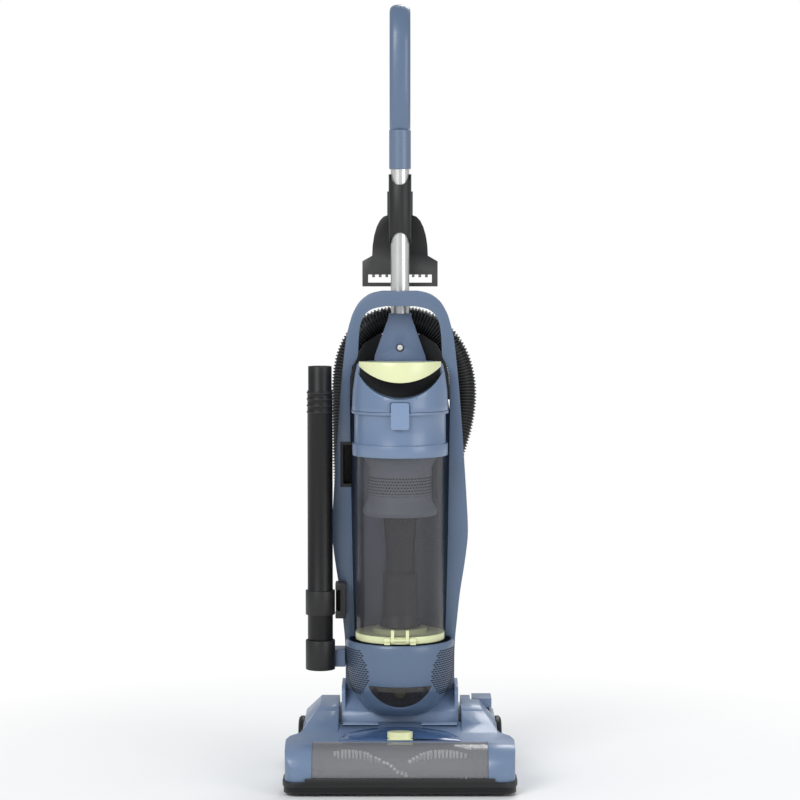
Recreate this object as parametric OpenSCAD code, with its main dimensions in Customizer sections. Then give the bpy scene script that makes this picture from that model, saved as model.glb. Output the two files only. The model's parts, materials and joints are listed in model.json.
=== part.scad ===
// Upright vacuum cleaner with a bagless dust cup, a stretch hose, a wand and a turbine pet tool.
// Origin: floor, middle of the footprint. Front is -Y, right is +X.

/* [Floor head] */
// Width over the bumper
head_w = 320; // [290:1:360]
// Half of the footprint depth, bumper face to wheel back
half_depth = 145; // [140:1:160]
// Height of the hood roof at its back
hood_h = 78; // [74:1:84]
// Top of the rear shoulders
shoulder_h = 100; // [96:1:110]
// Width of the clear window over the brush
window_w = 240; // [200:1:250]
// Radius of the rear wheels
wheel_r = 32; // [28:1:38]
// Radius of the brush tips
brush_r = 27; // [25:1:28]

/* [Body] */
// Height of the tilt axis
pivot_z = 72; // [68:1:80]
// Radius of the motor trunnion
trunnion_r = 46; // [42:1:48]
// Half width of the trunnion
trunnion_x = 82; // [78:1:88]
// Top of the motor bowl, where the cup stands
bowl_top = 193; // [185:1:200]
// Radius of the motor bowl at its top
bowl_r = 76; // [72:1:80]
// Top of the carrying arch
arch_top = 681; // [650:1:720]

/* [Dust cup] */
// Outer radius of the clear cup
cup_r = 62; // [55:1:63]
// Height of the clear cup
cup_h = 248; // [220:1:250]
// Wall of the clear cup
cup_wall = 2.5; // [2:0.5:4]

/* [Handle and wand] */
// Radius of the metal handle tube
tube_r = 13.2; // [12:0.1:15]
// Overall height of the cleaner
overall_h = 1088; // [1030:1:1150]
// Outer radius of the wand
wand_r = 17.7; // [16:0.1:19]
// Outer radius of the wand's tool end
wand_tip_r = 16.5; // [15:0.1:17]
// Length of the wand's tool end
wand_tip_l = 34; // [25:1:45]
// Top of the wand
wand_top = 577; // [520:1:600]
// Outer radius of the stretch hose
hose_r = 19; // [17:1:20]

/* [Hidden] */
$fn = 48;
gap = 0.5;
wall = 2.5;
pivot_y = 45;
cup_y = 5;
bowl_y = 12;
spine_y = 74;
tube_y = 90;
hose_y = 124;
head_x = head_w / 2 - 3;
arm_in = trunnion_x + 4;
arm_out = 135;
hood_front = -half_depth + 5;
hood_back = pivot_y - trunnion_r - 7;
sole_z = 5;
sole_t = 6;
deck = sole_z + sole_t;
brush_y = -103;
brush_z = brush_r + 3;
brush_core = 15;
brush_half = 112;
belt_x = 104;
belt_w = 9;
wheel_y = half_depth - wheel_r;
wheel_w = 11;
axle_r = 4;
roller_r = 9;
roller_x = 60;
roller_y = -55;
pulley_r = 8;
cup_top = bowl_top + 12 + cup_h;
collar_h = 17;
// degrees each tuft row turns round the roll for each millimetre along it
tuft_twist = 1.4;
// height where the inner tube begins to widen to its mouth
cone_z = max(cup_top - 138, bowl_top + 106);
lid_seam = cup_top + collar_h + 46;
lid_top = lid_seam + 67;
grip_up = overall_h - 1088;
run = 0.05;
turbo_y = 125.5;
wand_x = -94.3 - wand_r;
wand_y = 8;
wand_bot = 226;
blue = [0.36, 0.47, 0.63];
black = [0.06, 0.06, 0.065];
lime = [0.88, 0.9, 0.6];

// ---- placing helpers ----
module along_x(x0, x1) translate([x0, 0, 0]) rotate([90, 0, 90]) linear_extrude(x1 - x0) children();
module along_y(y0, y1) translate([0, y1, 0]) rotate([90, 0, 0]) linear_extrude(y1 - y0) children();
module rod_x(x0, x1, y, z, r) translate([x0, y, z]) rotate([0, 90, 0]) cylinder(h = x1 - x0, r = r);
module rod_y(y0, y1, x, z, r) translate([x, y1, z]) rotate([90, 0, 0]) cylinder(h = y1 - y0, r = r);
module block(x0, x1, y0, y1, z0, z1) translate([x0, y0, z0]) cube([x1 - x0, y1 - y0, z1 - z0]);
module both() { children(); mirror([1, 0, 0]) children(); }
module rrect(x0, x1, y0, y1, r) {
  translate([x0 + r, y0]) square([x1 - x0 - 2 * r, y1 - y0]);
  translate([x0, y0 + r]) square([x1 - x0, y1 - y0 - 2 * r]);
  for (x = [x0 + r, x1 - r], y = [y0 + r, y1 - r]) translate([x, y]) circle(r);
}

// ---- floor head ----
function hood_side(t, low) = let (r = 38 - t, cy = hood_front + 38, cz = hood_h - 50)
  concat([[hood_front + t, low]],
    [for (a = [180:-8:92]) [cy + r * cos(a), cz + r * sin(a)]],
    [[hood_back - t, hood_h - t], [hood_back - t, low]]);
module hood_body(t, low, x) along_x(-x, x) polygon(hood_side(t, low));
function mirrored(l) = [for (i = [len(l) - 1:-1:0]) [-l[i][0], l[i][1]]];
// Right half of the head seen from above: rounded front corner, then a step in to the shoulder
function plan_half(t) = concat([for (a = [-90:15:0]) [head_x - 16 + (16 - t) * cos(a), hood_front + 16 + (16 - t) * sin(a)]],
  [[head_x - t, hood_front + 54], [head_x - 5 - t, hood_front + 70], [arm_out + 4 - t, hood_front + 84],
    [arm_out - t, hood_front + 96], [arm_out - t, 20]]);
module plan(t) translate([0, 0, -5]) linear_extrude(200) polygon(concat(plan_half(t), mirrored(plan_half(t))));
module window_zone(x) block(-x, x, -200, hood_front + 44, 0, 200);
module base_plate() color(black) difference() {
  union() {
    intersection() {
      block(-head_x, head_x, hood_front, hood_back, sole_z, deck);
      plan(0);
    }
    both() block(arm_in, arm_out, hood_back, wheel_y + 17, sole_z, deck);
  }
  block(-brush_half - 6, brush_half + 6, brush_y - 22, brush_y + 22, 0, 20);
  both() block(roller_x - 9, roller_x + 9, roller_y - 11, roller_y + 11, 0, 20);
}
module bumper_ring(x, y, z0, z1) translate([0, 0, z0]) linear_extrude(z1 - z0) polygon(concat(
  [for (a = [-90:15:0]) [head_x - 16 + x * cos(a), hood_front + 16 + y * sin(a)]],
  [[head_x - 16 + x, hood_front + 54], [16 - x - head_x, hood_front + 54]],
  [for (a = [180:15:270]) [16 - head_x + x * cos(a), hood_front + 16 + y * sin(a)]]));
module front_bumper() color(black) difference() {
  union() {
    bumper_ring(head_w / 2 - head_x + 16, half_depth + hood_front + 16, 13, 25);
    bumper_ring(17.5, half_depth + hood_front + 15, sole_z - 1, 13);
  }
  plan(0);
  both() block(head_x - 28, head_x + 20, -200, 0, 20, 60);
}
// Sloping shoulder fronts that run up from the hood to the rear shoulders
function ramp_side(t) = [[hood_front + 52, deck], [hood_front + 52, hood_h - 14 - t], [hood_front + 80, hood_h - 7 - t],
  [hood_front + 104, hood_h + 3 - t], [hood_back - t, shoulder_h - 6 - t], [hood_back - t, deck]];
module ramps(t) both() intersection() {
  along_x(arm_in + t, arm_out - t) polygon(ramp_side(t));
  along_y(-100, 0) polygon(shoulder_face(t));
}
function shoulder_face(t) = [[arm_in + t, deck - (t > 0 ? 1 : 0)], [arm_out - t, deck - (t > 0 ? 1 : 0)],
  [arm_out - t, shoulder_h - 26 - t * 0.4], [arm_out - 23 - t * 0.4, shoulder_h - t], [arm_in + t, shoulder_h - t]];
module hood_mass(t) intersection() {
  union() {
    hood_body(t, t > 0 ? deck - 1 : deck, head_x + 5);
    ramps(t);
  }
  plan(t);
}
module hood() color(blue) difference() {
  hood_mass(0);
  hood_mass(wall);
  window_zone(window_w / 2);
  block(belt_x - 8, belt_x + 8, hood_back - wall - 1, hood_back + 1, 20, 76);
  translate([0, 0, 40]) linear_extrude(80) button_plan(gap);
}
module button_plan(g) {
  polygon([for (a = [0:10:350]) [(17.5 + g) * cos(a), hood_front + 58 + (11 + g) * sin(a)]]);
  translate([-17.5 - g, hood_front + 46 - g]) square([35 + 2 * g, 12 + g]);
}
module hood_panel() color([0.25, 0.37, 0.58]) difference() {
  hood_body(-1.2, deck, 90);
  hood_body(0, deck - 1, 91);
  difference() {
    block(-95, 95, -200, 20, 0, 200);
    linear_extrude(200) polygon([for (a = [0:9:180]) [84 * cos(a), hood_front + 45 + 62 * sin(a)]]);
  }
  translate([0, 0, 40]) linear_extrude(80) button_plan(gap);
}
module brush_window() color([0.35, 0.33, 0.32, 0.5]) intersection() {
  difference() {
    hood_body(0, deck, window_w / 2 - 0.3);
    hood_body(2.4, deck - 1, window_w / 2 + 1);
  }
  block(-200, 200, -200, hood_front + 43.7, 25.2, 200);
}
module shoulder(t) intersection() {
  along_y(hood_back + t, wheel_y + 17 - t) polygon(shoulder_face(t));
  along_x(0, 200) polygon([[hood_back - 1, 0], [hood_back - 1, shoulder_h - 6 - t], [5, shoulder_h - t],
    [pivot_y + 38 - t, shoulder_h - t], [wheel_y + 17 - t, 58], [wheel_y + 17 - t, 0]]);
}
module shoulder_shell() difference() {
  shoulder(0);
  shoulder(wall);
  rod_x(arm_in - 1, arm_in + wall + 1, pivot_y, pivot_z, 24);
  rod_x(arm_out - wall - 1, arm_out + 1, wheel_y, wheel_r, axle_r);
}
module left_shoulder() color(blue) mirror([1, 0, 0]) shoulder_shell();
module right_shoulder() color(blue) difference() {
  shoulder_shell();
  pedal_zone(1);
  block(belt_x - 8, belt_x + 8, hood_back - 1, hood_back + wall + 1, 20, 80);
}
module nozzle_duct() color(black) difference() {
  block(-arm_out + 9, -arm_in - 7, hood_back + 4, 66, 46, shoulder_h - 20);
  block(-arm_out + 11, -arm_in - 9, hood_back + 3, 64, 48, shoulder_h - 22);
  rod_x(-arm_in - 10, -arm_in - 6, pivot_y, pivot_z - 9, 15);
}
module wheel_axles() color("silver") both() rod_x(arm_out - 30, arm_out + wheel_w + 3, wheel_y, wheel_r, axle_r);
module wheel() difference() {
  translate([arm_out + 1, wheel_y, wheel_r]) rotate([0, 90, 0]) rotate_extrude()
    polygon([[axle_r + run, 0], [wheel_r - 2, 0], [wheel_r, 2], [wheel_r, 7], [wheel_r - 3, 10],
      [wheel_r - 8, wheel_w], [wheel_r - 9, 8], [11, 8], [10, wheel_w], [axle_r + run, wheel_w]]);
}
module wheel_left() color(black) mirror([1, 0, 0]) wheel();
module wheel_right() color(black) wheel();
module roller(s) difference() {
  rod_x(s * roller_x - 7, s * roller_x + 7, roller_y, roller_r, roller_r);
  rod_x(s * roller_x - 8, s * roller_x + 8, roller_y, roller_r, 2 + run);
}
module roller_left() color(black) roller(-1);
module roller_right() color(black) roller(1);
module roller_axles() color("silver") both() rod_x(roller_x - 9, roller_x + 9, roller_y, roller_r, 2);
module brush_roll() color([0.1, 0.1, 0.1]) difference() {
  union() {
    rod_x(-brush_half + 8, brush_half - 14, brush_y, brush_z, brush_core);
    rod_x(brush_half - 14, brush_half - 1, brush_y, brush_z, 14);
    for (x = [-90, -30, 30, 86]) rod_x(x, x + 2, brush_y, brush_z, brush_core + 3);
  }
  rod_x(-200, 200, brush_y, brush_z, 3 + run);
}
// Two chevron helices of tufts, seated on the core
tuft_n = 20;
module brush_bristles() color("white") for (side = [0, 180], i = [0:tuft_n - 1])
  let (x = (i + 0.5) / tuft_n * 2 * (brush_half - 20) - brush_half + 20,
    turn = x < 11 ? tuft_twist * (x + 63) : 55 - tuft_twist * (x - 11))
    translate([x, brush_y, brush_z]) rotate([side + turn, 0, 0])
      translate([0, 0, brush_core - 0.5]) cylinder(h = brush_r - brush_core, r = 2, $fn = 8);
module brush_end_caps() color(black) both() union() {
  rod_x(brush_half, brush_half + 6, brush_y, brush_z, 12);
  rod_x(brush_half - 20, brush_half, brush_y, brush_z, 3);
}
function belt_pts(r1, r2) = let (dy = brush_y - pivot_y, dz = brush_z - pivot_z, d = norm([dy, dz]),
    a0 = atan2(dz, dy), b = acos((r1 - r2) / d))
  concat([for (i = [0:12]) let (a = a0 + b + (360 - 2 * b) * i / 12) [pivot_y + r1 * cos(a), pivot_z + r1 * sin(a)]],
    [for (i = [0:12]) let (a = a0 - b + 2 * b * i / 12) [brush_y + r2 * cos(a), brush_z + r2 * sin(a)]]);
module drive_belt() color("black") along_x(belt_x - belt_w / 2, belt_x + belt_w / 2) difference() {
  polygon(belt_pts(pulley_r + 2.2, 16.2));
  polygon(belt_pts(pulley_r + 0.5, 14.5));
}
module pedal_zone(g) block(101 - g, 136 + g, 50 - g, 112 + g, 79 - g, 120);
module release_pedal() color(blue) difference() {
  union() {
    block(103, 131, 66, 108, 85, 98);
    block(103, 118, 58, 66, 85, 91);
    rod_x(103, 118, 58, 87, 5);
  }
  rod_x(100, 120, 58, 87, 2 + run);
}
module pedal_pin() color("silver") rod_x(100, 121, 58, 87, 2);
module window_button() color(lime) union() {
  translate([0, 0, hood_h - 16]) linear_extrude(16) polygon([for (a = [0:10:350]) [17.5 * cos(a), hood_front + 58 + 11 * sin(a)]]);
  block(-17.5, 17.5, hood_front + 46, hood_front + 58, hood_h - 16, hood_h - 9);
}
module base_screws() color("silver") both() for (p = [[head_x - 14, -120], [head_x - 40, -40], [110, 70]])
  translate([p[0], p[1], sole_z - 1.6]) cylinder(h = 1.6, r = 4);

// ---- tilting body ----
module bowl_solid(t) translate([0, bowl_y, 0]) rotate_extrude($fn = 72) polygon([[0, 90 + t], [40 - t, 90 + t],
  [54 - t, 101 + t / 2], [63 - t, 115], [70 - t, 128], [74 - t, 150], [bowl_r - t, bowl_top - 4],
  [bowl_r - 2 - t, bowl_top + (t > 0 ? 1 : 0)], [0, bowl_top + (t > 0 ? 1 : 0)]]);
module trunnion_yoke() color([0.44, 0.55, 0.7]) difference() {
  union() {
    rod_x(-trunnion_x, trunnion_x, pivot_y, pivot_z, trunnion_r);
    both() along_x(trunnion_x - 5, trunnion_x) rrect(pivot_y - 42, pivot_y + 42, pivot_z, 126, 14);
  }
  rod_x(-trunnion_x + 4, trunnion_x - 4, pivot_y, pivot_z, trunnion_r - 3);
  rod_x(-200, 200, pivot_y, pivot_z, 20);
  bowl_solid(0);
}
module pivot_bushes() color("white") both() difference() {
  rod_x(trunnion_x, arm_in + wall + 3, pivot_y, pivot_z, 24 - run);
  rod_x(trunnion_x - 1, arm_in + wall + 4, pivot_y, pivot_z, 19);
}
module motor_can() color("silver") difference() {
  rod_x(-44, 58, pivot_y, pivot_z, 34);
  rod_x(-42, 56, pivot_y, pivot_z, 31);
  rod_x(-60, 70, pivot_y, pivot_z, 6);
}
module motor_rotor() color("silver") union() {
  rod_x(-38, belt_x + 8, pivot_y, pivot_z, 4);
  rod_x(-30, 30, pivot_y, pivot_z, 24);
  rod_x(belt_x - 6, belt_x + 6, pivot_y, pivot_z, pulley_r);
}
module motor_bowl() color(blue) difference() {
  bowl_solid(0);
  bowl_solid(3);
  rod_x(-trunnion_x, trunnion_x, pivot_y, pivot_z, 36);
  headlight_zone(0.3);
}
module headlight_zone(g) along_y(-80, -5) intersection() {
  translate([0, 152]) circle(47 + g, $fn = 96);
  translate([-60, 60]) square([120, 75 + g]);
}
module headlight_lens() color([0.15, 0.14, 0.13, 0.7]) intersection() {
  difference() { bowl_solid(0); bowl_solid(3); }
  headlight_zone(0);
}
module headlight_board() color("white") block(-26, 26, -33, -30, 107, 119);
module exhaust_filter() color("white") difference() {
  translate([0, bowl_y, 122]) cylinder(h = 50, r = 56);
  translate([0, bowl_y, 121]) cylinder(h = 52, r = 36);
}
// Half outline of the body: x at each height, foot to arch
outline = [[77, 100], [77, 160], [78, 189], [80, 210], [84.5, 253], [90, 288], [94, 317], [96, 342], [94.5, 381], [90, 452],
  [86, 509], [82, 558], [76, 608], [70, 634], [65, 648], [56, 662], [42, 672], [25, 676]];
inner_line = [[64, 90], [64, 189], [67, 300], [69.5, 450], [70, 560], [60, 588], [58.5, 606], [56, 628], [50, 642], [39, 651], [20, 655]];
stretch = arch_top - 676;
function soft(p) = concat([for (k = [0:len(p) - 2], t = [0, 1 / 3, 2 / 3]) spline(p, k, t)], [p[len(p) - 1]]);
function lifted(p) = [p[0], p[1] + (p[1] > 600 ? stretch : 0)];
function loop(l) = let (m = soft([for (p = l) lifted(p)])) concat(m, mirrored(m));
module body_frame() color(blue) difference() {
  along_y(32, spine_y) polygon(loop(outline));
  along_y(0, 100) polygon(loop(inner_line));
  bowl_solid(0);
  rod_x(-200, 200, pivot_y, pivot_z, trunnion_r + 0.2);
  port_cut();
}
module port_cut() block(-84, -60, 30, 56, 405, 469);
module inlet_port() color(black) difference() {
  block(-83.8, -68, 31, 56, 405.2, 468.8);
  block(-79.5, -60, 30, 53, 410, 464);
}
module spine_shell() color(blue) difference() {
  along_y(spine_y, 104) polygon([[50, 104], [66, 150], [76, 189], [80, 253], [86, 342], [80, 452], [66, 540], [40, 574],
    [-40, 574], [-66, 540], [-80, 452], [-86, 342], [-80, 253], [-76, 189], [-66, 150], [-50, 104]]);
  along_y(spine_y + 3, 101) polygon([[47, 107], [63, 151], [73, 190], [77, 253], [83, 342], [77, 451], [64, 537], [38, 571],
    [-38, 571], [-64, 537], [-77, 451], [-83, 342], [-77, 253], [-73, 190], [-63, 151], [-47, 107]]);
  bowl_solid(0);
  rod_x(-200, 200, pivot_y, pivot_z, trunnion_r + 0.2);
}
module neck() color(blue) difference() {
  along_y(spine_y + 1, 104) polygon([[38, 574], [36, 588], [17, 641], [16, 648], [-16, 648], [-17, 641], [-36, 588], [-38, 574]]);
  translate([0, tube_y, 590]) cylinder(h = 80, r = tube_r);
  rod_y(spine_y - 1, spine_y + 3, 0, 600, 5.5);
}
module power_bezel() color("black") difference() {
  rod_y(spine_y - 0.5, spine_y + 2.6, 0, 600, 5.5);
  rod_y(spine_y - 1, spine_y + 4, 0, 600, 4.2);
}
module power_button() color("white") rod_y(spine_y - 1.5, spine_y + 1.6, 0, 600, 4);
module handle_tube() color("silver") difference() {
  translate([0, tube_y, 590]) cylinder(h = 309 + grip_up, r = tube_r);
  translate([0, tube_y, 591]) cylinder(h = 330 + grip_up, r = tube_r - 1.5);
}
// Closed loop grip: a ring in the YZ plane on a socket
function round_loop(p) = let (n = len(p)) [for (k = [0:n - 1], t = [0, 1 / 3, 2 / 3])
  spline([p[(k + n - 1) % n], p[k], p[(k + 1) % n], p[(k + 2) % n]], 1, t)];
grip_rim = [[76, 905], [66, 945], [60, 990], [61, 1040], [72, 1071], [94, 1087],
  [118, 1083], [136, 1063], [143, 1028], [140, 988], [126, 940], [104, 905]];
grip_hole = [[95, 930], [87, 960], [84, 1000], [86, 1040], [95, 1062], [108, 1062],
  [117, 1046], [119, 1022], [115, 990], [105, 950]];
module handle_grip() color(blue) union() {
  along_x(-15, 15) difference() {
    translate([0, grip_up]) polygon(round_loop(grip_rim));
    translate([0, grip_up]) polygon(round_loop(grip_hole));
  }
  difference() {
    translate([0, tube_y, 853 + grip_up]) cylinder(h = 56, r = tube_r + 2.3);
    translate([0, tube_y, 852 + grip_up]) cylinder(h = 58, r = tube_r);
  }
}
// Stretch hose: the route's points, port to port
hose_route = [[52, 124, 385], [64, 124, 418], [76, 124, 452], [86, 124, 487], [91, 124, 522], [89, 124, 556],
  [79, 124, 588], [60, 124, 615], [33, 124, 633], [0, 124, 639], [-33, 124, 633], [-58, 124, 614],
  [-73, 124, 585], [-79, 124, 550], [-80, 124, 510], [-79, 124, 460], [-77, 124, 410], [-73, 124, 360],
  [-66, 124, 310], [-56, 124, 270], [-46, 124, 240]];
function spline(p, k, t) = let (a = p[max(k - 1, 0)], b = p[k], c = p[k + 1], d = p[min(k + 2, len(p) - 1)])
  0.5 * (2 * b + (c - a) * t + (2 * a - 5 * b + 4 * c - d) * t * t + (3 * b - a - 3 * c + d) * t * t * t);
hose_line = concat([for (k = [0:len(hose_route) - 2], t = [0, 1 / 3, 2 / 3]) spline(hose_route, k, t)],
  [hose_route[len(hose_route) - 1]]);
hose_sides = 10;
module hose() color("black") {
  n = len(hose_line);
  points = [for (i = [0:n - 1]) let (d = hose_line[min(i + 1, n - 1)] - hose_line[max(i - 1, 0)], u = d / norm(d),
      side = [u[2], 0, -u[0]])
    for (j = [0:hose_sides - 1]) hose_line[i] + hose_r * (cos(j * 36) * side + sin(j * 36) * [0, 1, 0])];
  polyhedron(points, concat([[for (j = [0:hose_sides - 1]) j]],
    [for (i = [0:n - 2], j = [0:hose_sides - 1]) let (k = (j + 1) % hose_sides, a = i * hose_sides)
      [a + j, a + hose_sides + j, a + hose_sides + k, a + k]],
    [[for (j = [hose_sides - 1:-1:0]) (n - 1) * hose_sides + j]]), convexity = 6);
}
module cuff(end, next) { // a straight collar behind a hose end, then an elbow into the body
  d = (end - next) / norm(end - next);
  translate(end) rotate([0, atan2(d[0], d[2]), 0]) cylinder(h = 30, r = hose_r + 1);
  translate(end + 30 * d) sphere(r = hose_r + 1);
  translate(end + 30 * d) rotate([90, 0, 0]) cylinder(h = 20, r = hose_r + 1);
}
module hose_cuffs() color(black) {
  cuff(hose_route[0], hose_route[1]);
  cuff(hose_route[len(hose_route) - 1], hose_route[len(hose_route) - 2]);
}
// Saddle behind the neck that the hose rests on
module hose_saddle() color(black) union() {
  along_y(104, 105.2) polygon([[-72, 524], [-70, 560], [-64, 584], [-52, 604], [-32, 617], [0, 621],
    [32, 617], [52, 604], [64, 584], [70, 560], [72, 524], [62, 524], [54, 566], [-54, 566], [-62, 524]]);
  saddle_shelf();
}
module saddle_shelf() along_y(105, 140) difference() {
  polygon([[-56, 568], [-50, 587], [-30, 604], [0, 610], [30, 604], [50, 587], [56, 568]]);
  polygon([[-52, 567], [-46, 585], [-28, 600], [0, 606], [28, 600], [46, 585], [52, 567]]);
}
module wand_socket() color(blue) difference() {
  block(-100, -76.5, 14, 54, 152, 176);
  translate([wand_x, wand_y, 140]) cylinder(h = 60, r = wand_r + 3);
  along_y(0, 100) polygon(loop(outline));
}
module wand_clip() color(black) union() {
  difference() {
    translate([wand_x, wand_y, 150]) cylinder(h = 42, r = wand_r + 3);
    translate([wand_x, wand_y, 156]) cylinder(h = 60, r = wand_r + run);
    translate([wand_x, wand_y, 130]) cylinder(h = 200, r = wand_r - 3);
  }
  difference() {
    block(-90.8, -76, 4, 31.9, 222, 272);
    block(-100, -84, 3, 24, 232, 262);
  }
}
module wand() color(black) difference() {
  union() {
    translate([wand_x, wand_y, 157]) cylinder(h = wand_top - wand_tip_l - 157, r = wand_r);
    translate([wand_x, wand_y, wand_top - wand_tip_l]) cylinder(h = wand_tip_l, r = wand_tip_r);
    for (i = [0:3]) translate([wand_x, wand_y, wand_top - wand_tip_l - 4 - i * 9]) cylinder(h = 2, r = wand_r + 1);
    translate([wand_x, wand_y, 228]) cylinder(h = 34, r = wand_r + 3);
  }
  translate([wand_x, wand_y, 100]) cylinder(h = 600, r = wand_tip_r - 2);
}
module tool_clip() color(black) difference() {
  union() {
    translate([0, tube_y, 748]) cylinder(h = 98, r = tube_r + 3);
    block(-8, 8, tube_y + tube_r, tube_y + 21.6, 752, 776);
  }
  translate([0, tube_y, 700]) cylinder(h = 200, r = tube_r);
  for (z = [846, 748]) rod_y(60, tube_y, 0, z, 15);
}
module turbo_side(t) along_y(tube_y + 22 + t, 142 - t) polygon(concat([[-54 + t, 686 + t], [-54 + t, 722 - t]],
  [for (i = [0:6]) let (a = i * 15) [-40 + t + 22 * (1 - cos(a)), 730 + (58 - t) * sin(a)]],
  [for (i = [6:-1:0]) let (a = i * 15) [40 - t - 22 * (1 - cos(a)), 730 + (58 - t) * sin(a)]],
  [[54 - t, 722 - t], [54 - t, 686 + t]]));
module turbo_tool() color(black) difference() {
  union() {
    turbo_side(0);
    translate([0, turbo_y, 780]) cylinder(h = 42, r = 18.4);
  }
  turbo_side(2.5);
  block(-46, 46, tube_y + 21, 143, 691, 703);
  translate([0, turbo_y, 782]) cylinder(h = 50, r = 16.6);
}
module turbo_roller() color("white") union() {
  rod_x(-46, 46, 127, 708, 4);
  for (i = [-4:4]) rod_x(i * 9.5 - 2, i * 9.5 + 2, 127, 708, 9);
}
module cord_inlet() color(black) rod_y(104, 110, 0, 160, 9);
module hook_arm(z, s) union() {
  rod_y(104, 112, 0, z, 7);
  block(-6, 6, 112, 116, z - 6, z + s * 34 + 6);
}
module cord_hook() color(black) union() {
  rod_y(104 + gap, 126, 0, 545, 6);
  block(-7, 7, 126, 130, 539, 575);
}
module lower_cord_hook() color(black) union() {
  block(-7, 7, 104, 126, 226, 236);
  block(-7, 7, 126, 130, 202, 236);
}

// ---- dust cup ----
module at_cup() translate([0, cup_y, 0]) children();
module dust_cup() color([0.4, 0.37, 0.35, 0.4]) at_cup() difference() {
  translate([0, 0, bowl_top + 12]) cylinder(h = cup_h, r = cup_r, $fn = 96);
  translate([0, 0, bowl_top + 11]) cylinder(h = cup_h + 2, r = cup_r - cup_wall, $fn = 96);
}
module cup_collar() color(blue) at_cup() difference() {
  union() {
    translate([0, 0, cup_top]) cylinder(h = collar_h, r = cup_r + 5, $fn = 96);
    translate([0, 0, cup_top + collar_h]) cylinder(h = lid_seam - cup_top - collar_h - 4, r = cup_r + 2, $fn = 96);
    translate([0, 0, lid_seam - 4]) cylinder(h = 4, r = cup_r + 6, $fn = 96);
  }
  translate([0, 0, cup_top - 1]) cylinder(h = 100, r = cup_r - 6, $fn = 96);
}
module cyclone_shroud() color([0.5, 0.55, 0.62]) at_cup() rotate_extrude($fn = 72) polygon([[24, cup_top - 84],
  [50, cup_top - 84], [53, cup_top - 78], [46, cup_top - 65], [44.5, cup_top - 62], [44, cup_top - 18],
  [52, cup_top - 2], [54, cup_top + 2], [24, cup_top + 2]]);
module cyclone_tube() color([0.2, 0.2, 0.2]) at_cup() rotate_extrude() polygon([[13, bowl_top + 20],
  [29, bowl_top + 20], [25, bowl_top + 36], [24, bowl_top + 92], [20, bowl_top + 98], [20, cone_z],
  [23.5, cup_top - 84], [23.5, cup_top], [18, cup_top], [15, cone_z], [15, bowl_top + 98],
  [13, bowl_top + 90]]);
module cup_lid() color(blue) difference() {
  at_cup() translate([0, 0, lid_seam + gap]) rotate_extrude($fn = 96) polygon([[0, 0], [cup_r + 5.5, 0],
    [cup_r + 4, 28], [cup_r + 1, 50], [cup_r - 2, 64], [cup_r - 6, lid_top - lid_seam - gap],
    [0, lid_top - lid_seam - gap]]);
  at_cup() difference() {
    translate([0, 0, lid_seam - 1]) cylinder(h = lid_top - lid_seam - 3, r = cup_r - 6);
    block(-80, 80, -80, -16, lid_seam + 11, 700);
  }
  along_y(-80, -14) translate([0, lid_top + 17]) circle(66, $fn = 96);
  block(-14, 14, -100, cup_y - cup_r - 2.5, lid_seam - 20, lid_seam + 14.5);
  block(-10, 10, -20, -4, lid_top - 35, lid_top + 7);
}
module lid_latch() color([0.44, 0.55, 0.7]) union() {
  along_y(cup_y - cup_r - 8.2, cup_y - cup_r - 6.3) rrect(-12.6, 12.6, lid_seam - 23, lid_seam + 14, 4);
  rod_x(-9, 9, cup_y - cup_r - 5.6, lid_seam - 16, 1.8);
}
module cup_handle() color(lime) union() {
  intersection() {
    along_y(-62, -18) translate([0, lid_top + 60]) circle(86, $fn = 120);
    at_cup() cylinder(h = lid_top + 2, r = cup_r + 1, $fn = 96);
    block(-57, 57, -80, 0, lid_top - 60, lid_top + 2);
  }
  block(-8, 8, -19, -8, lid_top - 21, lid_top - 7);
}
module cup_door() color(lime) difference() {
  union() {
    at_cup() translate([0, 0, bowl_top + 2]) cylinder(h = 10 - gap, r = cup_r + 0.5, $fn = 96);
    at_cup() translate([0, 0, bowl_top + 11]) cylinder(h = 6, r = 38);
    both() rod_x(14, 22, cup_y - cup_r - 3, bowl_top + 8, 4);
    both() block(14, 22, cup_y - cup_r - 5, cup_y - cup_r + 4, bowl_top + 2, bowl_top + 8);
  }
  rod_x(-30, 30, cup_y - cup_r - 3, bowl_top + 8, 2 + run);
}
module door_pin() color(lime) difference() {
  union() {
    rod_x(-24, 24, cup_y - cup_r - 3, bowl_top + 8, 2);
    both() block(8, 12.5, cup_y - cup_r - 4.5, cup_y - cup_r - 1.2, bowl_top + 5, bowl_top + 16);
    both() block(8, 12.5, cup_y - cup_r - 4.5, cup_y - cup_r + 3, bowl_top + 12.6, bowl_top + 22);
  }
  at_cup() cylinder(h = 400, r = cup_r);
}

base_plate();
front_bumper();
hood();
hood_panel();
brush_window();
left_shoulder();
right_shoulder();
nozzle_duct();
wheel_axles();
wheel_left();
wheel_right();
roller_left();
roller_right();
roller_axles();
brush_roll();
brush_bristles();
brush_end_caps();
drive_belt();
release_pedal();
pedal_pin();
window_button();
base_screws();
trunnion_yoke();
pivot_bushes();
motor_can();
motor_rotor();
motor_bowl();
exhaust_filter();
headlight_lens();
headlight_board();
body_frame();
spine_shell();
neck();
power_bezel();
power_button();
handle_tube();
handle_grip();
hose();
hose_cuffs();
hose_saddle();
inlet_port();
wand_socket();
wand_clip();
wand();
tool_clip();
turbo_tool();
turbo_roller();
cord_inlet();
cord_hook();
lower_cord_hook();
dust_cup();
cup_collar();
cyclone_shroud();
cyclone_tube();
cup_lid();
lid_latch();
cup_handle();
cup_door();
door_pin();
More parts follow.
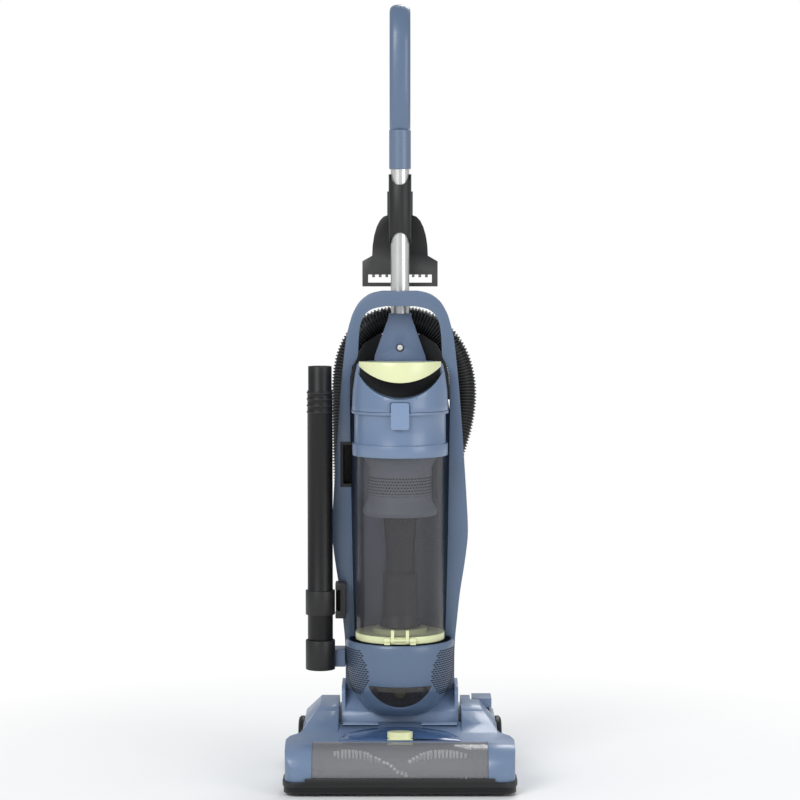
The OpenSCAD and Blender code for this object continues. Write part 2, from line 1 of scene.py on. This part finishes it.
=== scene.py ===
# %% [markdown]
# # Upright vacuum cleaner
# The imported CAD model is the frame. Each cell below adds one thing to it: camera, materials, hose, softened
# shells, small repeated details, then floor and light. Sizes are in metres unless a comment says otherwise.
# The floor is at z = 0 and the front is towards -Y.

# %% Frame
import json
from math import cos, pi, radians, sin, sqrt
import bmesh
import bpy
from mathutils import Matrix, Vector

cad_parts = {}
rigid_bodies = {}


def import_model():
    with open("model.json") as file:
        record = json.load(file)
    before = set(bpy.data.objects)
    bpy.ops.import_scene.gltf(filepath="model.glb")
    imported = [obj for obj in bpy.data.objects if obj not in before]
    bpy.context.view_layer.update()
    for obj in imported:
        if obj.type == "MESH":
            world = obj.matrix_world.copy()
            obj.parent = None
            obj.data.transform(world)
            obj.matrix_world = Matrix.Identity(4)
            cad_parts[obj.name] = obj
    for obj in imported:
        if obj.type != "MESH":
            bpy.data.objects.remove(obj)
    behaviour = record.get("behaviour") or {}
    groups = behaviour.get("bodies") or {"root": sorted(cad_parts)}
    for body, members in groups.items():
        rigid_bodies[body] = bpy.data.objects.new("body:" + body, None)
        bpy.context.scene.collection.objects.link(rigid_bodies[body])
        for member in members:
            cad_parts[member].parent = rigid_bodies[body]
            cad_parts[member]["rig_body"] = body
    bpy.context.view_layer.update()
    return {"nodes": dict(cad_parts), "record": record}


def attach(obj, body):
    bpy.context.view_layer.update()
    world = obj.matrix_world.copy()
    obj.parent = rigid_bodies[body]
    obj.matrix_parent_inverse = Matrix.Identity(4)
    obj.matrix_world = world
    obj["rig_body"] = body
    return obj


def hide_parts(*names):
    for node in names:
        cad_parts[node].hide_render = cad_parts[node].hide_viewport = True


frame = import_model()
nodes = frame["nodes"]
body_of_node = {n: o["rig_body"] for n, o in nodes.items()}
slot_of = {s["node"]: s["material_slot"] for s in frame["record"]["subparts"]}
WHITE = (1, 1, 1, 1)

# %% [markdown]
# The camera stands in front of the machine at chest height and looks a little down, as in a catalogue picture.

# %% Camera
cam_data = bpy.data.cameras.new("camera")
cam_data.lens = 119.2
cam_data.sensor_width = 36
camera = bpy.data.objects.new("camera", cam_data)
camera.location = (0.0, -3.69, 0.77)
camera.rotation_euler = (radians(90 - 3.72), 0, 0)
bpy.context.scene.collection.objects.link(camera)
bpy.context.scene.camera = camera
print("camera at", tuple(camera.location))

# %% [markdown]
# ## Surface feel
# One node group gives every plastic its slight change of tone, its fine grain and its worn edges.
# The Principled shader itself stays in each material.

# %% Node group
def surface_group():
    g = bpy.data.node_groups.new("surface_feel", "ShaderNodeTree")
    for name, kind, default in [("Colour", "NodeSocketColor", (0.5, 0.5, 0.5, 1)),
                                ("Tone", "NodeSocketFloat", 0.05), ("Roughness", "NodeSocketFloat", 0.4),
                                ("Uneven", "NodeSocketFloat", 0.1), ("Grain size", "NodeSocketFloat", 900.0),
                                ("Grain", "NodeSocketFloat", 0.05), ("Wear", "NodeSocketFloat", 0.1)]:
        s = g.interface.new_socket(name, in_out="INPUT", socket_type=kind)
        s.default_value = default
    for name, kind in [("Colour", "NodeSocketColor"), ("Roughness", "NodeSocketFloat"),
                       ("Normal", "NodeSocketVector")]:
        g.interface.new_socket(name, in_out="OUTPUT", socket_type=kind)
    n, link = g.nodes, g.links.new
    into, out = n.new("NodeGroupInput"), n.new("NodeGroupOutput")
    place = n.new("ShaderNodeTexCoord")
    soft = n.new("ShaderNodeTexNoise")
    soft.inputs["Scale"].default_value = 14
    soft.inputs["Detail"].default_value = 3
    link(place.outputs["Object"], soft.inputs["Vector"])
    fine = n.new("ShaderNodeTexNoise")
    fine.inputs["Detail"].default_value = 2
    link(place.outputs["Object"], fine.inputs["Vector"])
    link(into.outputs["Grain size"], fine.inputs["Scale"])

    def centred(amount):
        """The soft noise about zero, times the amount."""
        shift = n.new("ShaderNodeMath")
        shift.operation = "SUBTRACT"
        link(soft.outputs["Fac"], shift.inputs[0])
        shift.inputs[1].default_value = 0.5
        by = n.new("ShaderNodeMath")
        by.operation = "MULTIPLY"
        link(shift.outputs[0], by.inputs[0])
        link(amount, by.inputs[1])
        return by.outputs[0]

    bright = n.new("ShaderNodeMath")
    bright.operation = "ADD"
    link(centred(into.outputs["Tone"]), bright.inputs[0])
    bright.inputs[1].default_value = 1.0
    toned = n.new("ShaderNodeVectorMath")
    toned.operation = "SCALE"
    link(into.outputs["Colour"], toned.inputs[0])
    link(bright.outputs[0], toned.inputs["Scale"])
    geometry = n.new("ShaderNodeNewGeometry")
    edge = n.new("ShaderNodeMapRange")
    edge.inputs["From Min"].default_value = 0.52
    edge.inputs["From Max"].default_value = 0.62
    link(geometry.outputs["Pointiness"], edge.inputs["Value"])
    worn = n.new("ShaderNodeMath")
    worn.operation = "MULTIPLY"
    link(edge.outputs["Result"], worn.inputs[0])
    link(into.outputs["Wear"], worn.inputs[1])
    mix = n.new("ShaderNodeMix")
    mix.data_type = "RGBA"
    mix.inputs[7].default_value = (0.85, 0.85, 0.83, 1)
    link(worn.outputs[0], mix.inputs[0])
    link(toned.outputs[0], mix.inputs[6])
    link(mix.outputs[2], out.inputs["Colour"])
    rough = n.new("ShaderNodeMath")
    rough.operation = "ADD"
    rough.use_clamp = True
    link(centred(into.outputs["Uneven"]), rough.inputs[0])
    link(into.outputs["Roughness"], rough.inputs[1])
    link(rough.outputs[0], out.inputs["Roughness"])
    bump = n.new("ShaderNodeBump")
    bump.inputs["Distance"].default_value = 0.0003
    link(fine.outputs["Fac"], bump.inputs["Height"])
    link(into.outputs["Grain"], bump.inputs["Strength"])
    link(bump.outputs["Normal"], out.inputs["Normal"])
    return g


FEEL = surface_group()
print("group", FEEL.name)

# %% [markdown]
# ## Materials
# Colours are the shell's grey-blue, a darker copy of that blue which paints shade onto the frame, grip and motor
# bowl, pale lime, satin black, silver and smoky clear plastic. `MAT` has one material for each slot of the record,
# and `SHADE` gives some nodes their own shade of it.

# %% Materials
def linear(hexa):
    v = [int(hexa[i:i + 2], 16) / 255 for i in (0, 2, 4)]
    return tuple(c / 12.92 if c <= 0.04045 else ((c + 0.055) / 1.055) ** 2.4 for c in v) + (1.0,)


def material(name, colour, rough=0.4, tone=0.06, uneven=0.12, size=900, grain=0.08, wear=0.06, metal=0.0,
             coat=0.0, alpha=1.0, spec=0.5):
    m = bpy.data.materials.new(name)
    m.use_nodes = True
    n, link = m.node_tree.nodes, m.node_tree.links.new
    shader = n["Principled BSDF"]
    g = n.new("ShaderNodeGroup")
    g.node_tree = FEEL
    for key, value in [("Colour", linear(colour)), ("Tone", tone), ("Roughness", rough), ("Uneven", uneven),
                       ("Grain size", size), ("Grain", grain), ("Wear", wear)]:
        g.inputs[key].default_value = value
    link(g.outputs["Colour"], shader.inputs["Base Color"])
    link(g.outputs["Roughness"], shader.inputs["Roughness"])
    link(g.outputs["Normal"], shader.inputs["Normal"])
    shader.inputs["Metallic"].default_value = metal
    shader.inputs["Coat Weight"].default_value = coat
    shader.inputs["Coat Roughness"].default_value = 0.12
    shader.inputs["Specular IOR Level"].default_value = spec
    shader.inputs["Alpha"].default_value = alpha
    return m


MAT = {
    "blue_shell": material("shell blue", "687C99", 0.36, coat=0.2),
    "light_blue": material("shell light blue", "778CAB", 0.36, coat=0.2),
    "accent_blue": material("gloss blue", "425D86", 0.16, grain=0.01, coat=0.5),
    "black_plastic": material("satin black", "101011", 0.42, tone=0.15, grain=0.15, spec=0.35),
    "hose_black": material("hose black", "0F0F10", 0.4, tone=0.2, size=500, grain=0.1, spec=0.3),
    "belt_rubber": material("belt", "1E1E1E", 0.75, tone=0.2, grain=0.3, wear=0.0),
    "bristle": material("bristle", "EDECE6", 0.55, tone=0.12, wear=0.0),
    "lime": material("lime", "DBDFAF", 0.35, tone=0.05, coat=0.2),
    "white_plastic": material("white plastic", "E6E6E2", 0.4, wear=0.0),
    "filter": material("filter paper", "E2E0D6", 0.9, tone=0.1, size=300, grain=0.4, wear=0.0),
    "steel": material("steel", "B8B8B8", 0.3, metal=1.0, size=700, grain=0.05, wear=0.0),
    "tube_silver": material("tube silver", "D2D2CF", 0.3, metal=0.7, size=400, grain=0.03, wear=0.0),
    "clear_smoke": material("smoky clear", "4E4D4F", 0.06, grain=0.01, coat=0.4, wear=0.0, alpha=0.27),
    "dark_lens": material("dark lens", "2A2725", 0.08, grain=0.01, coat=0.6, wear=0.02, alpha=0.72),
    "shroud_grey": material("shroud grey", "7A818D", 0.42, wear=0.0),
}
# Painted shade: a near-black put on holes, slots and the finger pocket, where only shade is seen.
shadow = material("painted shade", "151516", 0.8, wear=0.0)
# Painted shade: a darker copy of the shell blue for the frame, grip and motor bowl, which are the same plastic as
# the shell.
shaded_shell_blue = material("shell blue painted shade", "576A84", 0.38, coat=0.15)
tube_dark = material("dark tube", "1F2024", 0.4, wear=0.0)
window_clear = material("window clear", "A2A2A5", 0.1, grain=0.01, coat=0.3, wear=0.0, alpha=0.36)
roll_grey = material("roll grey", "3C3C3F", 0.45, wear=0.0)
SHADE = {"body_frame": shaded_shell_blue, "handle_grip": shaded_shell_blue, "motor_bowl": shaded_shell_blue,
         "cyclone_tube": tube_dark, "brush_window": window_clear, "brush_roll": roll_grey}
for name, node in nodes.items():
    node.data.materials.clear()
    node.data.materials.append(SHADE.get(name, MAT[slot_of[name]]))
print("materials", len(bpy.data.materials))

# %% [markdown]
# ## Making pieces
# `seat` puts a mesh on its body as a shaded object, and `piece` does so for a bmesh.
# `soften` rounds the edges of one CAD shell and stands for it.

# %% Helpers
def link_object(name, data):
    o = bpy.data.objects.new(name, data)
    bpy.context.scene.collection.objects.link(o)
    return o


def seat(name, mesh, body, smooth):
    mesh.shade_smooth()
    mesh.set_sharp_from_angle(angle=radians(smooth))
    o = link_object(name, mesh)
    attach(o, body)
    return o


def piece(name, bm, slot, body, mat=None, smooth=35):
    bmesh.ops.recalc_face_normals(bm, faces=bm.faces)
    mesh = bpy.data.meshes.new(name)
    bm.to_mesh(mesh)
    bm.free()
    mesh.materials.append(mat or MAT[slot])
    return seat(name, mesh, body, smooth)


def soften(node, width=0.0012, segments=2, angle=30, smooth=38):
    bm = bmesh.new()
    bm.from_mesh(nodes[node].data)
    bmesh.ops.remove_doubles(bm, verts=bm.verts, dist=1e-5)
    bmesh.ops.dissolve_limit(bm, angle_limit=radians(0.6), verts=bm.verts, edges=bm.edges)
    sharp = [e for e in bm.edges if len(e.link_faces) == 2 and e.calc_face_angle(0) > radians(angle)]
    bmesh.ops.bevel(bm, geom=sharp, offset=width, offset_type="OFFSET", segments=segments, profile=0.5,
                    affect="EDGES", clamp_overlap=True)
    bmesh.ops.triangulate(bm, faces=[f for f in bm.faces if len(f.verts) > 4])
    o = piece("soft_" + node, bm, slot_of[node], body_of_node[node], mat=SHADE.get(node), smooth=smooth)
    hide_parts(node)
    return o


def between(a, b, c, d, steps):
    """Points from b towards c on the smooth curve through a, b, c and d."""
    return [0.5 * (2 * b + (c - a) * t + (2 * a - 5 * b + 4 * c - d) * t * t + (3 * b - a - 3 * c + d) * t ** 3)
            for t in (j / steps for j in range(steps))]


def smooth_line(points, steps):
    line, last = [], len(points) - 1
    for k in range(last):
        line += between(*(Vector(points[min(max(i, 0), last)]) for i in (k - 1, k, k + 1, k + 2)), steps)
    return line + [Vector(points[-1])]


def skin(bm, loops, closed=False):
    """Faces between each ring of vertices and the next."""
    for a, b in zip(loops, loops[1:] + loops[:1] if closed else loops[1:]):
        for j in range(len(a)):
            k = (j + 1) % len(a)
            bm.faces.new((a[j], a[k], b[k], b[j]))


def box(bm, x0, x1, y0, y1, z0, z1):
    made = bmesh.ops.create_cube(bm, size=1)["verts"]
    bmesh.ops.scale(bm, vec=(x1 - x0, y1 - y0, z1 - z0), verts=made)
    bmesh.ops.translate(bm, vec=((x0 + x1) / 2, (y0 + y1) / 2, (z0 + z1) / 2), verts=made)


def rounded(bm, width, segments=2):
    bmesh.ops.bevel(bm, geom=list(bm.edges), offset=width, offset_type="OFFSET", segments=segments, profile=0.5,
                    affect="EDGES", clamp_overlap=True)


print("helpers ready")

# %% [markdown]
# ## Hose
# A corrugated tube along the hose's route, from the right port over the top and down to the left port.
# Its points are in millimetres, across and up.

# %% Hose
HOSE = [(52, 385), (64, 418), (76, 452), (86, 487), (91, 522), (89, 556), (79, 588), (60, 615), (33, 633),
        (0, 639), (-33, 633), (-58, 614), (-73, 585), (-79, 550), (-80, 510), (-79, 460), (-77, 410),
        (-73, 360), (-66, 310), (-56, 270), (-46, 240)]
HOSE_Y = 0.124
HOSE_R = 0.019
GROOVE_R = 0.0168
RIB_PITCH = 0.0042
hose_line = smooth_line([(x / 1000, HOSE_Y, z / 1000) for x, z in HOSE], 12)


def ribbed_tube(line, outer, inner, pitch, sides=20):
    """Four rings to each pitch along the line, two high and two low."""
    rings, walked, place, k = [], 0.0, 0.0, 0
    for a, b in zip(line, line[1:]):
        long = (b - a).length
        while place <= walked + long:
            centre = a.lerp(b, (place - walked) / long)
            rings.append((centre, (b - a).normalized(), (outer, outer, inner, inner)[k % 4]))
            place += pitch * (0.3 if k % 4 in (0, 2) else 0.2)
            k += 1
        walked += long
    bm = bmesh.new()
    loops = []
    for centre, along, r in rings:
        side = along.cross(Vector((0, 1, 0))).normalized()
        angles = [2 * pi * j / sides for j in range(sides)]
        loops.append([bm.verts.new(centre + r * (cos(a) * side + sin(a) * Vector((0, 1, 0)))) for a in angles])
    skin(bm, loops)
    bm.faces.new(loops[0])
    bm.faces.new(reversed(loops[-1]))
    return bm, [list(r[0]) for r in rings]


bm, path = ribbed_tube(hose_line, HOSE_R, GROOVE_R, RIB_PITCH)
hose = piece("hose_ribbed", bm, "hose_black", "upright", smooth=60)
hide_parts("hose")

# %% [markdown]
# ## Shells
# Every moulded part gets rounded edges. The widths are in millimetres.

# %% Shells
EDGES = {
    0.4: ["door_pin"],
    0.5: ["hood_panel", "power_button"],
    0.6: ["wand", "cyclone_shroud"],
    0.8: ["motor_bowl", "lid_latch", "wheel_left", "wheel_right", "tool_clip", "brush_end_caps"],
    0.9: ["cup_collar"],
    1.0: ["base_plate", "cup_lid", "cup_door", "cord_hook", "lower_cord_hook", "hose_saddle", "inlet_port",
          "nozzle_duct"],
    1.2: ["wand_clip", "wand_socket"],
    1.5: ["window_button", "trunnion_yoke", "cup_handle", "turbo_tool"],
    1.8: ["hood"],
    2.0: ["front_bumper"],
    2.5: ["release_pedal"],
    3.0: ["left_shoulder", "right_shoulder", "body_frame", "spine_shell", "neck"],
}
for width, names in EDGES.items():
    for node in names:
        o = soften(node, width / 1000)
        print(node, len(o.data.polygons), "faces")

# %% [markdown]
# The grip is a closed loop with a rounded section, swept inside the outline of the CAD's flat loop, on a round
# sleeve. Each point of the loop is its place back from the tube's front, its height and half its thickness, in
# millimetres.

# %% Grip
GRIP = [(90, 914, 13), (78, 942, 10.5), (73.5, 975, 11), (72, 1010, 10.5), (75.5, 1044, 11), (89, 1071, 10.8),
        (109, 1074, 10.8), (126, 1053, 11), (131, 1024, 11), (127.5, 990, 11), (116, 949, 11), (103, 920, 12)]


def squared(value, reach):
    """The value from -1 to 1, times the reach, bent so that a circle becomes a rounded square."""
    return reach * abs(value) ** 0.75 * (1 if value > 0 else -1)


def closed_sweep(points, half_width, sides=24, steps=6):
    line = []
    for k in range(len(points)):
        line += between(*(Vector(points[i % len(points)]) for i in (k - 1, k, k + 1, k + 2)), steps)
    bm, loops, count = bmesh.new(), [], len(line)
    for i, p in enumerate(line):
        ahead = line[(i + 1) % count] - line[i - 1]
        out = Vector((0, ahead[1], -ahead[0])).normalized()
        ring = []
        for j in range(sides):
            a = 2 * pi * j / sides
            x, r = squared(cos(a), half_width), squared(sin(a), p[2])
            ring.append(bm.verts.new(Vector((x, p[0], p[1])) / 1000 + out * r / 1000))
        loops.append(ring)
    skin(bm, loops, closed=True)
    return bm


GRIP_HALF_WIDTH = 14.8
loop = closed_sweep(GRIP, GRIP_HALF_WIDTH)
# The grip and its sleeve take the darker copy of the shell blue, painted shade.
grip = piece("grip_loop", loop, "blue_shell", "upright", mat=shaded_shell_blue, smooth=80)
bm = bmesh.new()
SLEEVE_R = 0.0155
bmesh.ops.create_cone(bm, cap_ends=True, segments=40, radius1=SLEEVE_R, radius2=SLEEVE_R, depth=0.056,
                      matrix=Matrix.Translation((0, 0.090, 0.881)))
rounded(bm, 0.001, 1)
sleeve = piece("grip_sleeve", bm, "blue_shell", "upright", mat=shaded_shell_blue)
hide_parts("handle_grip")
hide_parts("handle_grip")
print("grip", len(grip.data.polygons), "faces")

# %% [markdown]
# ## Repeats
# One Geometry Nodes group sets a small piece at each point, turned as the point says, with a little seeded
# jitter.

# %% Repeat group
def repeat_group():
    g = bpy.data.node_groups.new("set_at_points", "GeometryNodeTree")
    g.interface.new_socket("Geometry", in_out="INPUT", socket_type="NodeSocketGeometry")
    for name, kind in [("Piece", "NodeSocketObject"), ("Jitter", "NodeSocketFloat"), ("Seed", "NodeSocketInt"),
                       ("Material", "NodeSocketMaterial")]:
        g.interface.new_socket(name, in_out="INPUT", socket_type=kind)
    g.interface.new_socket("Geometry", in_out="OUTPUT", socket_type="NodeSocketGeometry")
    n, link = g.nodes, g.links.new
    into, out = n.new("NodeGroupInput"), n.new("NodeGroupOutput")
    turn = n.new("GeometryNodeInputNamedAttribute")
    turn.data_type = "FLOAT_VECTOR"
    turn.inputs["Name"].default_value = "turn"
    low = n.new("ShaderNodeMath")
    low.operation = "MULTIPLY"
    low.inputs[1].default_value = -1
    link(into.outputs["Jitter"], low.inputs[0])
    spread = n.new("FunctionNodeRandomValue")
    spread.data_type = "FLOAT_VECTOR"
    link(low.outputs[0], spread.inputs[0])
    link(into.outputs["Jitter"], spread.inputs[1])
    link(into.outputs["Seed"], spread.inputs["Seed"])
    add = n.new("ShaderNodeVectorMath")
    link(turn.outputs["Attribute"], add.inputs[0])
    link(spread.outputs[0], add.inputs[1])
    shape = n.new("GeometryNodeObjectInfo")
    link(into.outputs["Piece"], shape.inputs["Object"])
    put = n.new("GeometryNodeInstanceOnPoints")
    euler = n.new("FunctionNodeEulerToRotation")
    link(add.outputs[0], euler.inputs[0])
    link(into.outputs["Geometry"], put.inputs["Points"])
    link(shape.outputs["Geometry"], put.inputs["Instance"])
    link(euler.outputs[0], put.inputs["Rotation"])
    real = n.new("GeometryNodeRealizeInstances")
    link(put.outputs["Instances"], real.inputs["Geometry"])
    paint = n.new("GeometryNodeSetMaterial")
    link(real.outputs["Geometry"], paint.inputs["Geometry"])
    link(into.outputs["Material"], paint.inputs["Material"])
    link(paint.outputs["Geometry"], out.inputs[0])
    return g


REPEAT = repeat_group()


def repeat(name, shape, places, turns, slot, body, mat=None, jitter=0.0, seed=3, smooth=35):
    """The bmesh shape at each place, with its Euler turn, as one plain piece."""
    one_mesh = bpy.data.meshes.new(name + "_one")
    shape.to_mesh(one_mesh)
    shape.free()
    one = link_object(name + "_one", one_mesh)
    points = bpy.data.meshes.new(name + "_points")
    points.from_pydata([tuple(p) for p in places], [], [])
    turn = points.attributes.new("turn", "FLOAT_VECTOR", "POINT")
    turn.data.foreach_set("vector", [c for t in turns for c in t])
    carrier = link_object(name + "_carrier", points)
    mod = carrier.modifiers.new("set", "NODES")
    mod.node_group = REPEAT
    key = {i.name: i.identifier for i in REPEAT.interface.items_tree if i.in_out == "INPUT"}
    mod[key["Piece"]] = one
    mod[key["Jitter"]] = jitter
    mod[key["Seed"]] = seed
    mod[key["Material"]] = mat or MAT[slot]
    bpy.context.view_layer.update()
    mesh = bpy.data.meshes.new_from_object(carrier.evaluated_get(bpy.context.evaluated_depsgraph_get()))
    carrier.modifiers.remove(mod)
    bpy.data.objects.remove(carrier)
    bpy.data.objects.remove(one)
    mesh.name = name
    return seat(name, mesh, body, smooth)


print("group", REPEAT.name)

# %% [markdown]
# ## Brush tufts
# Two rows of tufts, half a turn apart. Each row winds one way over most of the roll and back over the rest, and
# each tuft is a slightly splayed bundle.

# %% Brush tufts
def stub(low, high, r0, r1, sides=7):
    """A short cone along Z from low to high."""
    bm = bmesh.new()
    bmesh.ops.create_cone(bm, cap_ends=True, segments=sides, radius1=r0, radius2=r1, depth=high - low,
                          matrix=Matrix.Translation((0, 0, (low + high) / 2)))
    return bm


ROW_TUFTS = 36
ROW_LENGTH = 184        # millimetres
TWIST = 1.4             # degrees each millimetre
BRUSH_AXIS = (-0.103, 0.030)
CORE_R, TUFT_TIP_R = 0.0148, 0.0266
places, turns = [], []
for start in (0, 180):
    for i in range(ROW_TUFTS):
        x = (i + 0.5) / ROW_TUFTS * ROW_LENGTH - ROW_LENGTH / 2
        turn = TWIST * (x + 63) if x < 11 else 55 - TWIST * (x - 11)
        places.append((x / 1000, *BRUSH_AXIS))
        turns.append((radians(start + turn), 0, 0))
one_tuft = stub(CORE_R, TUFT_TIP_R, 0.0012, 0.0024)
tufts = repeat("tufts", one_tuft, places, turns, "bristle", "brush", jitter=0.05)
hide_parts("brush_bristles")
print("tufts", len(places))

# %% [markdown]
# ## Cyclone holes and bowl grilles
# Small holes ring the upper part of the cyclone's shroud. Each is a dark disc of painted shade, for the shade seen
# through the hole.

# %% Shroud holes
CUP_Y = 0.005
SHROUD_R = 0.0442
HOLES_ROUND, HOLE_ROWS = 64, 9
places, turns = [], []
for row in range(HOLE_ROWS):
    for k in range(HOLES_ROUND):
        a = 2 * pi * (k + 0.5 * (row % 2)) / HOLES_ROUND
        places.append((SHROUD_R * cos(a), CUP_Y + SHROUD_R * sin(a), 0.389 + row * 0.0042))
        turns.append((0, pi / 2, a))
hole = stub(-0.0001, 0.0002, 0.0013, 0.0013, 8)
# The holes take the painted shade material.
repeat("shroud_holes", hole, places, turns, "black_plastic", "cup", mat=shadow)
print("holes", len(places))

# %% [markdown]
# Rows of short slots cover both flanks of the motor bowl, each a dark box of painted shade for the shade inside
# the opening. The bowl's outside, as heights and radii, seats them.
# They stop at an inner edge that comes nearest the middle at one height.

# %% Grilles
BOWL = [(0.101, 0.054), (0.115, 0.063), (0.128, 0.070), (0.150, 0.074), (0.189, 0.076)]
BOWL_Y = 0.012
NEAREST_Z = 0.144


def bowl_radius(z):
    for (z0, r0), (z1, r1) in zip(BOWL, BOWL[1:]):
        if z <= z1:
            return r0 + (r1 - r0) * (z - z0) / (z1 - z0)
    return BOWL[-1][1]


places, turns = [], []
for row in range(21):
    z = 0.121 + row * 0.0031
    r = bowl_radius(z)
    inner = 0.043 + 0.011 * ((z - NEAREST_Z) / (0.036 if z > NEAREST_Z else 0.022)) ** 2
    for k in range(14):
        a = radians(88 - 4.4 * (k + 0.5 * (row % 2)))
        if r * sin(a) < inner:
            continue
        for side in (-1, 1):
            places.append((side * r * sin(a), BOWL_Y - r * cos(a), z))
            turns.append((0, 0, side * a))
slot_shape = bmesh.new()
box(slot_shape, -0.0019, 0.0019, -0.0004, 0.0006, -0.0008, 0.0008)
# The slots take the painted shade material.
repeat("bowl_grilles", slot_shape, places, turns, "black_plastic", "upright", mat=shadow)
print("slots", len(places))

# %% [markdown]
# ## Small seen details
# A dark plate of painted shade in the lid's finger pocket, reflector ribs behind the headlight's lens, and two
# light strips beside the accent panel.

# %% Details
def arc_plate(x, top, radius, centre, y0, y1, steps=28):
    """A plate facing the front: flat at the top, a circular arc below."""
    bm = bmesh.new()
    xs = [x * (2 * k / steps - 1) for k in range(steps + 1)]
    arc = [(v, min(centre - sqrt(radius ** 2 - v ** 2), top)) for v in reversed(xs)]
    outline = [(-x, top), (x, top)] + arc
    front = [bm.verts.new((a, y0, b)) for a, b in outline]
    back = [bm.verts.new((a, y1, b)) for a, b in outline]
    bm.faces.new(front)
    bm.faces.new(reversed(back))
    for i in range(len(front)):
        j = (i + 1) % len(front)
        bm.faces.new((front[i], front[j], back[j], back[i]))
    bmesh.ops.remove_doubles(bm, verts=bm.verts, dist=1e-6)
    return bm


# Painted shade: the finger pocket's recess lies in shade, and this dark plate paints that shade.
pocket_shade = arc_plate(x=0.056, top=0.5805, radius=0.0655, centre=0.600, y0=-0.0152, y1=-0.0138)
piece("pocket_liner", pocket_shade, "black_plastic", "cup_lid", mat=shadow)
LENS_R, LENS_Z = 0.047, 0.152
bm = bmesh.new()
for k in range(9):
    z = 0.1085 + k * 0.0028
    wide = sqrt(max(LENS_R ** 2 - (LENS_Z - z) ** 2, 0)) * 0.62
    box(bm, -wide, wide, -0.0335, -0.0332, z - 0.0007, z + 0.0007)
piece("reflector_ribs", bm, "white_plastic", "upright")
for name, x0, x1 in (("left", -0.080, -0.030), ("right", 0.030, 0.080)):
    bm = bmesh.new()
    box(bm, x0, x1, -0.030, -0.014, 0.0771, 0.0788)
    rounded(bm, 0.0005, 1)
    piece("light_strip_" + name, bm, "light_blue", "floor_head")
print("details 4")

# %% [markdown]
# ## Floor
# A pale floor under the machine, which fades into the white room with distance. It is staging and isn't part of
# the object.

# %% Floor
floor_mesh = bpy.data.meshes.new("floor")
floor_mesh.from_pydata([(-8, -8, 0), (8, -8, 0), (8, 8, 0), (-8, 8, 0)], [], [(0, 1, 2, 3)])
pale = material("floor", "F4F4F2", 0.6, tone=0.02, wear=0.0)
n, link = pale.node_tree.nodes, pale.node_tree.links.new
where, far, away = n.new("ShaderNodeTexCoord"), n.new("ShaderNodeVectorMath"), n.new("ShaderNodeMapRange")
far.operation = "LENGTH"
away.inputs["From Min"].default_value = 0.25
away.inputs["From Max"].default_value = 0.9
glow, blend = n.new("ShaderNodeEmission"), n.new("ShaderNodeMixShader")
glow.inputs["Color"].default_value = WHITE
link(where.outputs["Object"], far.inputs[0])
link(far.outputs["Value"], away.inputs["Value"])
link(away.outputs["Result"], blend.inputs[0])
link(n["Principled BSDF"].outputs[0], blend.inputs[1])
link(glow.outputs[0], blend.inputs[2])
link(blend.outputs[0], n["Material Output"].inputs["Surface"])
floor_mesh.materials.append(pale)
floor = link_object("floor", floor_mesh)
print("floor fades from", away.inputs["From Min"].default_value)

# %% [markdown]
# ## Light
# A white studio: even world light, a large key from the front left, a fill from the right and a high back
# light.

# %% Light
world = bpy.data.worlds.new("studio")
bpy.context.scene.world = world
world.use_nodes = True
n, link = world.node_tree.nodes, world.node_tree.links.new
n.clear()
out = n.new("ShaderNodeOutputWorld")
mix = n.new("ShaderNodeMixShader")
seen, lit = n.new("ShaderNodeBackground"), n.new("ShaderNodeBackground")
seen.inputs["Color"].default_value = WHITE
lit.inputs["Color"].default_value = (0.86, 0.9, 0.96, 1)
lit.inputs["Strength"].default_value = 0.55
ray = n.new("ShaderNodeLightPath")
link(ray.outputs["Is Camera Ray"], mix.inputs[0])
link(lit.outputs[0], mix.inputs[1])
link(seen.outputs[0], mix.inputs[2])
link(mix.outputs[0], out.inputs[0])
MIDDLE = Vector((0, 0, 0.45))
for name, spot, size, power in [("key", (-1.6, -2.6, 2.2), 1.6, 62), ("fill", (2.2, -2.0, 1.2), 1.6, 26),
                                ("back", (0.6, 2.0, 2.4), 1.2, 30)]:
    data = bpy.data.lights.new(name, "AREA")
    data.size = size
    data.energy = power
    lamp = link_object(name, data)
    lamp.location = spot
    lamp.rotation_euler = (MIDDLE - Vector(spot)).to_track_quat("-Z", "Y").to_euler()
bpy.context.scene.view_settings.view_transform = "Standard"
print("lights 3")
